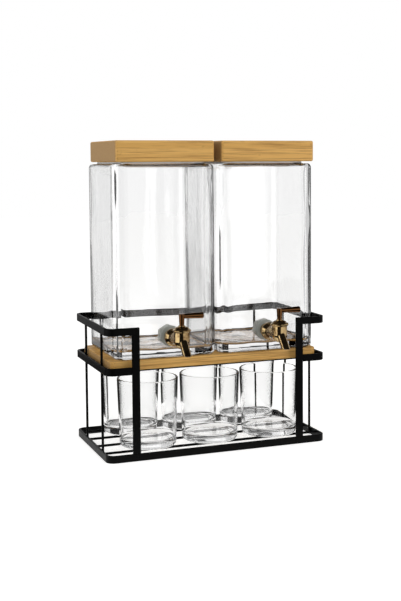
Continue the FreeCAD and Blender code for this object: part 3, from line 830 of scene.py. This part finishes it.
def tap_casting(place, look):
    """Shank, neck and barrel in one casting, with soft inner corners where neck and barrel meet."""
    body_low, body_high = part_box("tap_body_" + place.side)
    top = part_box("tap_bonnet_" + place.side)[0].z + SKIRT
    radius = look.barrel_radius
    bm = bmesh.new()
    turned(bm, [
        (body_low.z, 0, 0), (body_low.z, radius, radius * NEARLY), (top, look.barrel_mouth, 0), (top, 0, 0),
    ], Vector((place.barrel.x, place.barrel.y, 0)), Z, X, steps=64)
    collar_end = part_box("tap_escutcheon_" + place.side)[0].y
    rod(bm, Vector((place.shank.x, place.barrel.y, place.shank.z)),
        Vector((place.shank.x, collar_end + NECK_LAP, place.shank.z)), look.neck_diameter / 2, sides=64)
    rod(bm, Vector((place.shank.x, collar_end, place.shank.z)),
        Vector((place.shank.x, body_high.y, place.shank.z)), look.neck_diameter / 2 - SHANK_STEP, sides=64)
    casting = finish_piece(bm, "tap_casting_" + place.side, place.jar_body, ["tap_body_" + place.side],
                           finish(aged_brass))
    remesh = casting.modifiers.new("One casting", "REMESH")
    remesh.mode, remesh.voxel_size, remesh.use_smooth_shade = "VOXEL", VOXEL, True
    soften = casting.modifiers.new("Soft corners", "SMOOTH")
    soften.factor, soften.iterations = 0.5, 8
    casting.modifiers.move(0, 2)  # the shading is evened last


SPOUT_RISE = 5.5 * MM  # the spout's axis meets the barrel's this far above the shank's
SPOUT_ROOT = 5 * MM  # where on that axis the tube starts, inside the barrel
SPOUT_REACH = 45 * MM  # length of the tube before its end is cut level


def tap_spout(place, look):
    """A straight tube on the barrel's lower front, cut level at its end."""
    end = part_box("tap_spout_" + place.side)[0].z
    way = Vector((0, -math.sin(look.spout_tilt), -math.cos(look.spout_tilt)))
    start = Vector((place.barrel.x, place.barrel.y, place.shank.z + SPOUT_RISE)) + way * SPOUT_ROOT
    bm = bmesh.new()
    rod(bm, start, start + way * SPOUT_REACH, look.spout_diameter / 2, sides=48)
    caps = [face for face in bm.faces if len(face.verts) > 4]
    bmesh.ops.delete(bm, geom=caps, context="FACES_ONLY")
    bmesh.ops.bisect_plane(bm, geom=all_of(bm), plane_co=Vector((0, 0, end)), plane_no=Z, clear_inner=True)
    bmesh.ops.recalc_face_normals(bm, faces=bm.faces)
    bmesh.ops.solidify(bm, geom=bm.faces[:], thickness=look.spout_wall)
    finish_piece(bm, "tap_tube_" + place.side, place.jar_body, ["tap_spout_" + place.side],
                 finish(aged_brass))


def tap_collar(place, look):
    """The collar on the shank: a hub, a wide rim with a rounded edge and a short cone."""
    low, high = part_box("tap_escutcheon_" + place.side)
    rim, hub = (high.x - low.x) / 2, 9 * MM
    start, end = low.y, high.y
    rim_front, rim_back = start + 4.2 * MM, start + 7.6 * MM
    lap = 0.3 * MM  # the cone's small end laps round the neck by this much, outside and inside
    bore, small_end = look.neck_diameter / 2 - lap, look.neck_diameter / 2 + lap
    front_round, back_round, hub_round = 0.5 * MM, 1.1 * MM, 0.3 * MM
    bm = bmesh.new()
    turned(bm, [
        (start, bore, 0), (start, small_end, 0.2 * MM), (rim_front, rim, front_round),
        (rim_back, rim, back_round), (rim_back, hub, hub_round), (end, hub, 0), (end, bore, 0),
    ], Vector((place.shank.x, 0, place.shank.z)), Y, X, closed=True)
    finish_piece(bm, "tap_collar_" + place.side, place.jar_body, ["tap_escutcheon_" + place.side],
                 finish(aged_brass))


def tap_washer(place):
    """The soft washer between collar and glass."""
    low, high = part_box("tap_outer_washer_" + place.side)
    rim = (high.x - low.x) / 2
    bore = 8.05 * MM
    edge = 0.7 * MM
    bm = bmesh.new()
    turned(bm, [
        (low.y, bore, 0), (low.y, rim, edge), (high.y, rim, edge), (high.y, bore, 0),
    ], Vector((place.shank.x, 0, place.shank.z)), Y, X, closed=True)
    finish_piece(bm, "tap_washer_" + place.side, place.jar_body, ["tap_outer_washer_" + place.side],
                 finish(washer_silicone))


def tap_cap(place):
    """The bonnet: a wide round flange, a step, a low dome and a nose round the stem."""
    low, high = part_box("tap_bonnet_" + place.side)
    flange, flange_round = (high.x - low.x) / 2, 1.6 * MM
    flange_low = low.z + SKIRT
    flange_top = flange_low + 3.5 * MM
    step, step_round = 9.5 * MM, 0.3 * MM
    dome, dome_round, dome_z = 8.0 * MM, 2.2 * MM, flange_top + 2.6 * MM
    nose, nose_round, nose_z = 4.4 * MM, 0.4 * MM, high.z - 1.2 * MM
    bore = 3.15 * MM
    bm = bmesh.new()
    turned(bm, [
        (flange_low, bore, 0), (flange_low, flange, flange_round), (flange_top, flange, flange_round),
        (flange_top, step, step_round), (dome_z, dome, dome_round), (nose_z, nose, nose_round),
        (high.z, nose, nose_round), (high.z, bore, 0),
    ], Vector((place.barrel.x, place.barrel.y, 0)), Z, X, closed=True)
    finish_piece(bm, "tap_cap_" + place.side, place.jar_body, ["tap_bonnet_" + place.side],
                 finish(aged_brass))


def tap_post(place):
    """The upright stem, a little wider at its head."""
    low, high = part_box("tap_stem_" + place.side)
    head, head_round = (high.x - low.x) / 2, 0.9 * MM
    root, root_round = 3.1 * MM, 0.5 * MM
    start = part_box("tap_bonnet_" + place.side)[1].z - 3 * MM
    straight = start + 4 * MM
    bm = bmesh.new()
    turned(bm, [
        (start, 0, 0), (start, root, 0), (straight, root, root_round), (high.z, head, head_round),
        (high.z, 0, 0),
    ], Vector((place.barrel.x, place.barrel.y, 0)), Z, X, steps=48)
    finish_piece(bm, "tap_post_" + place.side, place.handle_body, ["tap_stem_" + place.side],
                 finish(aged_copper_brass))


def tap_handle(place):
    """The lever: a round rod that widens to its rounded end."""
    low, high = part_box("tap_lever_" + place.side)
    reach = high.x - place.barrel.x
    root = 3.0 * MM
    end, end_round = (high.z - low.z) / 2, 1.0 * MM
    middle_z = (high.z + low.z) / 2
    bm = bmesh.new()
    turned(bm, [
        (0, 0, 0), (0, root, 0), (reach, end, end_round), (reach, 0, 0),
    ], Vector((place.barrel.x, place.barrel.y, middle_z)), X, Z, steps=48)
    finish_piece(bm, "tap_handle_" + place.side + "_rod", place.handle_body, ["tap_lever_" + place.side],
                 finish(aged_copper_brass))


class DISPENSER_OT_taps(bpy.types.Operator):
    """Builds the two lever taps and dresses the parts inside them"""
    bl_idname = "dispenser.taps"
    bl_label = "Taps"

    def execute(self, context):
        look = settings().dispenser_tap
        for side in SIDES:
            place = TapPlace(side)
            tap_casting(place, look)
            tap_spout(place, look)
            tap_collar(place, look)
            tap_washer(place)
            tap_cap(place)
            tap_post(place)
            tap_handle(place)
            dress(["tap_plug_" + side], finish(aged_brass))
            dress(["tap_inner_washer_" + side], finish(washer_silicone))
            dress(["tap_lock_nut_" + side], finish(nut_nylon))
            dress(["tap_thrust_washer_" + side], finish(slip_ptfe))
            dress(["tap_seals_" + side], finish(nitrile_rubber))
        return {"FINISHED"}


# ---- tumblers ----
class DISPENSER_OT_tumblers(bpy.types.Operator):
    """Builds the six glass tumblers"""
    bl_idname = "dispenser.tumblers"
    bl_label = "Tumblers"

    def execute(self, context):
        look = settings().dispenser_tumbler
        glass = finish(pressed_tumbler_glass)
        for row in ROWS:
            for column in COLUMNS:
                node = "tumbler_" + row + "_" + column
                low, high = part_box(node)
                bm = bmesh.new()
                self.shape(bm, look, low, high)
                finish_piece(bm, "glass_" + node, node + "_glass", [node], glass)
        return {"FINISHED"}

    def shape(self, bm, look, low, high):
        """A tumbler with a thick foot, a rounded lip and a shallow hollow underneath."""
        rim = (high.x - low.x) / 2
        base = look.base_diameter / 2
        lip = look.wall / 2 * NEARLY
        punt, punt_round = look.punt_diameter / 2, 0.4 * MM
        ground = low.z + look.floor
        lean = (rim - base) / (high.z - low.z)
        inner_base = base + lean * look.floor - look.wall
        centre = Vector(((low.x + high.x) / 2, (low.y + high.y) / 2, 0))
        turned(bm, [
            (low.z + look.punt_depth, 0, 0), (low.z + look.punt_depth, punt - look.punt_depth, punt_round),
            (low.z, punt, punt_round), (low.z, base, look.heel), (high.z, rim, lip),
            (high.z, rim - look.wall, lip), (ground, inner_base, look.inner_heel), (ground, 0, 0),
        ], centre, Z, X, steps=96)


# ---- stage ----
FLOOR_GLOW = 0.66  # brings the floor to white, and leaves its shadows


def studio_floor(tree):
    """A plain pale floor that shows white where nothing shades it."""
    look = settings().dispenser_stage
    lift = add_node(tree, "ShaderNodeMath", {0: plainly_seen(tree), 1: FLOOR_GLOW}, operation="MULTIPLY")
    matt = add_node(tree, "ShaderNodeBsdfDiffuse", {"Color": rgba(look.floor)})
    glow = add_node(tree, "ShaderNodeEmission", {"Strength": lift.outputs[0]})
    both = add_node(tree, "ShaderNodeAddShader", {0: matt.outputs[0], 1: glow.outputs[0]})
    add_node(tree, "ShaderNodeOutputMaterial", {"Surface": both.outputs[0]})


def studio_world(look):
    """Even room light; the camera, metal and glass see a white backdrop."""
    world = bpy.data.worlds.new("studio")
    bpy.context.scene.world = world
    world.use_nodes = True
    tree = world.node_tree
    tree.nodes.clear()
    room = add_node(tree, "ShaderNodeBackground", {"Color": (1, 1, 1, 1), "Strength": look.ambient})
    backdrop = add_node(tree, "ShaderNodeBackground", {"Color": (1, 1, 1, 1), "Strength": 1.0})
    both = add_node(tree, "ShaderNodeMixShader", {
        0: plainly_seen(tree), 1: room.outputs[0], 2: backdrop.outputs[0],
    })
    add_node(tree, "ShaderNodeOutputWorld", {"Surface": both.outputs[0]})


def room_cloth(tree, strength):
    """Cloth of the studio's walls, which only mirrored light meets. What is seen straight, or straight
    through glass, stays the white backdrop."""
    ray = add_node(tree, "ShaderNodeLightPath")
    mirrored = add_node(tree, "ShaderNodeMath", {
        0: ray.outputs["Glossy Depth"], 1: 0.5,
    }, operation="GREATER_THAN")
    clear = add_node(tree, "ShaderNodeBsdfTransparent")
    cloth = add_node(tree, "ShaderNodeEmission", {"Strength": strength})
    both = add_node(tree, "ShaderNodeMixShader", {
        0: mirrored.outputs[0], 1: clear.outputs[0], 2: cloth.outputs[0],
    })
    add_node(tree, "ShaderNodeOutputMaterial", {"Surface": both.outputs[0]})


def black_cloth(tree):
    room_cloth(tree, settings().dispenser_stage.cloth)


def window_cloth(tree):
    room_cloth(tree, settings().dispenser_stage.window)


def backdrop_cloth(tree):
    room_cloth(tree, settings().dispenser_stage.backdrop)


def grey_cloth(tree):
    room_cloth(tree, settings().dispenser_stage.grey)


def softbox(name, place, aim, width, height, power):
    """A large soft lamp that faces a point."""
    lamp = bpy.data.lights.new(name, "AREA")
    lamp.shape, lamp.size, lamp.size_y, lamp.energy = "RECTANGLE", width, height, power
    stand = bpy.data.objects.new(name, lamp)
    stand.location = place
    stand.rotation_euler = (aim - place).to_track_quat("-Z", "Y").to_euler()
    stand.visible_glossy = False
    bpy.context.scene.collection.objects.link(stand)


CLOTHS = (black_cloth, window_cloth, backdrop_cloth, grey_cloth)
BLACK, WINDOW, PALE, GREY = range(len(CLOTHS))
LIT_WALLS = (  # bearings from +X in degrees, then the cloth of the wall and of the outer floor before it
    (150, 218, WINDOW, WINDOW),
    (270, 348, PALE, PALE),
    (348, 360, GREY, GREY),
    (0, 45, GREY, GREY),
    (62, 88, PALE, BLACK),
    (88, 118, GREY, GREY),
)
ROOM_SIZE = 3.0  # radius and height
ROOM_LIFT = 0.001  # keeps the room's floor just above the studio's
WINDOW_TOP = 1.7
TABLE_RADIUS = 0.22  # round the object the floor is mirrored as it is
DARK_RADIUS = 0.8  # from there to here it is mirrored as black cloth, and beyond that as LIT_WALLS says
TOP_SHARE = 0.6  # power of the softbox above, as a share of one at the side


class DISPENSER_OT_stage(bpy.types.Operator):
    """Builds the floor, the lamps and the camera"""
    bl_idname = "dispenser.stage"
    bl_label = "Stage"

    def execute(self, context):
        look = settings().dispenser_stage
        scene = bpy.context.scene
        scene.view_settings.view_transform = "Standard"
        bm = bmesh.new()
        bmesh.ops.create_grid(bm, x_segments=1, y_segments=1, size=6)
        mesh = bpy.data.meshes.new("studio_floor")
        bm.to_mesh(mesh)
        bm.free()
        mesh.materials.append(finish(studio_floor))
        floor = bpy.data.objects.new("studio_floor", mesh)
        scene.collection.objects.link(floor)
        studio_world(look)
        self.walls(scene, look)
        aim = Vector((0, 0, 0.2))
        softbox("left_softbox", Vector((-1.7, 0.05, 0.55)), aim, 1.5, 1.6, look.softbox)
        softbox("right_softbox", Vector((1.0, -1.35, 0.55)), aim, 1.2, 1.6, look.softbox)
        softbox("top_softbox", Vector((0, 0, 1.9)), aim, 1.6, 1.6, look.softbox * TOP_SHARE)
        self.camera(scene)
        return {"FINISHED"}

    def walls(self, scene, look):
        """A round room that metal and glass mirror: black cloth, with a white window and pale and grey walls
        up to the window's top."""
        bm = bmesh.new()
        bmesh.ops.create_cone(bm, cap_ends=True, segments=180, radius1=ROOM_SIZE, radius2=ROOM_SIZE,
                              depth=ROOM_SIZE, matrix=Matrix.Translation(Z * (ROOM_SIZE / 2 + ROOM_LIFT)))
        ground = [face for face in bm.faces if face.normal.z < -0.5]
        bmesh.ops.inset_region(bm, faces=ground, thickness=ROOM_SIZE - DARK_RADIUS)
        bmesh.ops.inset_region(bm, faces=ground, thickness=DARK_RADIUS - TABLE_RADIUS)
        bmesh.ops.delete(bm, geom=ground, context="FACES_ONLY")
        bmesh.ops.bisect_plane(bm, geom=all_of(bm), plane_co=Z * WINDOW_TOP, plane_no=Z)
        for face in bm.faces:
            middle = face.calc_center_median()
            if middle.z > WINDOW_TOP:
                continue
            bearing = math.degrees(math.atan2(middle.y, middle.x)) % 360
            wall, outer_floor = next((cloths for start, stop, *cloths in LIT_WALLS if start < bearing < stop),
                                     (BLACK, BLACK))
            if abs(face.normal.z) < 0.5:
                face.material_index = wall
            elif middle.xy.length > DARK_RADIUS:
                face.material_index = outer_floor
        mesh = bpy.data.meshes.new("studio_walls")
        bm.to_mesh(mesh)
        bm.free()
        for build in CLOTHS:
            cloth = finish(build)
            cloth.cycles.emission_sampling = "NONE"
            mesh.materials.append(cloth)
        walls = bpy.data.objects.new("studio_walls", mesh)
        walls.visible_camera = walls.visible_diffuse = walls.visible_shadow = False
        scene.collection.objects.link(walls)

    def camera(self, scene):
        """A long lens to the left of the front, level with the underside of the lids, that looks a little
        down."""
        lens = bpy.data.cameras.new("camera")
        lens.sensor_fit = "AUTO"
        lens.sensor_width = 36.0
        lens.lens = 66.43
        lens.shift_x, lens.shift_y = -0.0917, -0.0978
        camera = bpy.data.objects.new("camera", lens)
        camera.location = (-0.4928, -1.4061, 0.3760)
        turn, pitch, roll = math.radians(-22.31), math.radians(90 - 4.18), math.radians(0.25)
        camera.rotation_euler = (pitch, roll, turn)
        scene.collection.objects.link(camera)
        scene.camera = camera


# ---- panel ----
class DISPENSER_PT_panel(bpy.types.Panel):
    """Lists the pieces and their settings"""
    bl_label = "Drink dispenser set"
    bl_idname = "DISPENSER_PT_panel"
    bl_space_type = "VIEW_3D"
    bl_region_type = "UI"
    bl_category = "Dispenser"

    def draw(self, context):
        for name in SETTINGS:
            box = self.layout.box()
            group = getattr(context.scene, name)
            for key in group.bl_rna.properties.keys():
                if key not in ("rna_type", "name"):
                    box.prop(group, key)
        for operator in OPERATORS:
            self.layout.operator(operator.bl_idname)


SETTINGS = {
    "dispenser_stand": StandSettings,
    "dispenser_bamboo": BambooSettings,
    "dispenser_jar": JarSettings,
    "dispenser_tap": TapSettings,
    "dispenser_tumbler": TumblerSettings,
    "dispenser_stage": StageSettings,
}
OPERATORS = (
    DISPENSER_OT_stage, DISPENSER_OT_stand, DISPENSER_OT_wood, DISPENSER_OT_jars, DISPENSER_OT_taps,
    DISPENSER_OT_tumblers,
)


def register():
    for name, group in SETTINGS.items():
        bpy.utils.register_class(group)
        setattr(bpy.types.Scene, name, bpy.props.PointerProperty(type=group))
    for each in (*OPERATORS, DISPENSER_PT_panel):
        bpy.utils.register_class(each)


def unregister():
    for each in reversed((*OPERATORS, DISPENSER_PT_panel)):
        bpy.utils.unregister_class(each)
    for name, group in SETTINGS.items():
        delattr(bpy.types.Scene, name)
        bpy.utils.unregister_class(group)


def main():
    register()
    bpy.ops.dispenser.stage()
    bpy.ops.dispenser.stand()
    bpy.ops.dispenser.wood()
    bpy.ops.dispenser.jars()
    bpy.ops.dispenser.taps()
    bpy.ops.dispenser.tumblers()


if __name__ == "__main__":
    main()
